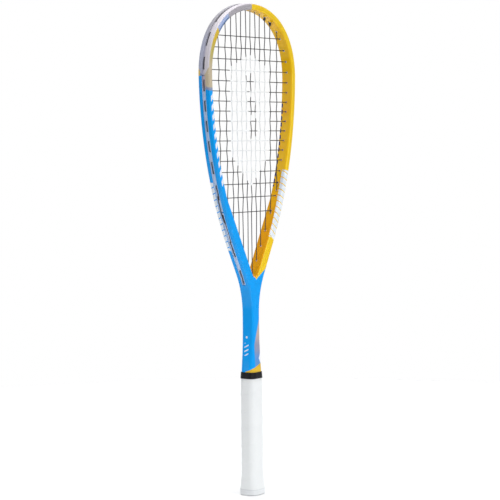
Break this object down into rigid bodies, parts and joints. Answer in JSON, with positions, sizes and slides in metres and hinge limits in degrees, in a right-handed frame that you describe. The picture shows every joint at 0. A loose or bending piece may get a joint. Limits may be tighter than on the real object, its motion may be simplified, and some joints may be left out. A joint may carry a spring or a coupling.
{
  "type": "squash racket",
  "caption": "Strung squash racket with an open V throat, hollow two-tone frame, light head bumper, slim shaft, black collar and white wrapped grip.",
  "frame": {"origin": "middle of the butt cap's underside, with the racket upright on its butt", "axes": "+Z from the butt to the top of the head, X across the string bed, -Y out of the front face"},
  "size_m": [0.206, 0.029, 0.686],
  "materials": {
    "frame_paint": "glossy painted fibre composite, blue on one arm and shaft, yellow on the other arm, silver at the crown",
    "bumper": "satin flexible plastic, silver lavender",
    "grommet": "satin translucent plastic",
    "string": "glossy black multifilament string",
    "pallet_foam": "moulded hard foam",
    "plug_foam": "soft foam",
    "cap": "satin white plastic",
    "badge": "plain domed plastic",
    "staple_steel": "bright wire",
    "grip": "white cushioned synthetic leather tape",
    "tape": "white vinyl tape",
    "collar": "black rubber, slightly glossy"
  },
  "bodies": {
    "root": {"frame": "frame_paint", "head_bumper": "bumper", "side_grommet_strip_right": "grommet", "side_grommet_strip_left": "grommet", "throat_grommet_strip_right": "grommet", "throat_grommet_strip_left": "grommet", "main_string": "string", "cross_string": "string", "handle_pallet": "pallet_foam", "frame_tail_plug": "plug_foam", "butt_cap": "cap", "butt_badge": "badge", "butt_cap_staples": "staple_steel", "grip_tack": "staple_steel", "grip_wrap": "grip", "finishing_tape": "tape", "grip_collar": "collar"}
  },
  "joints": []
}
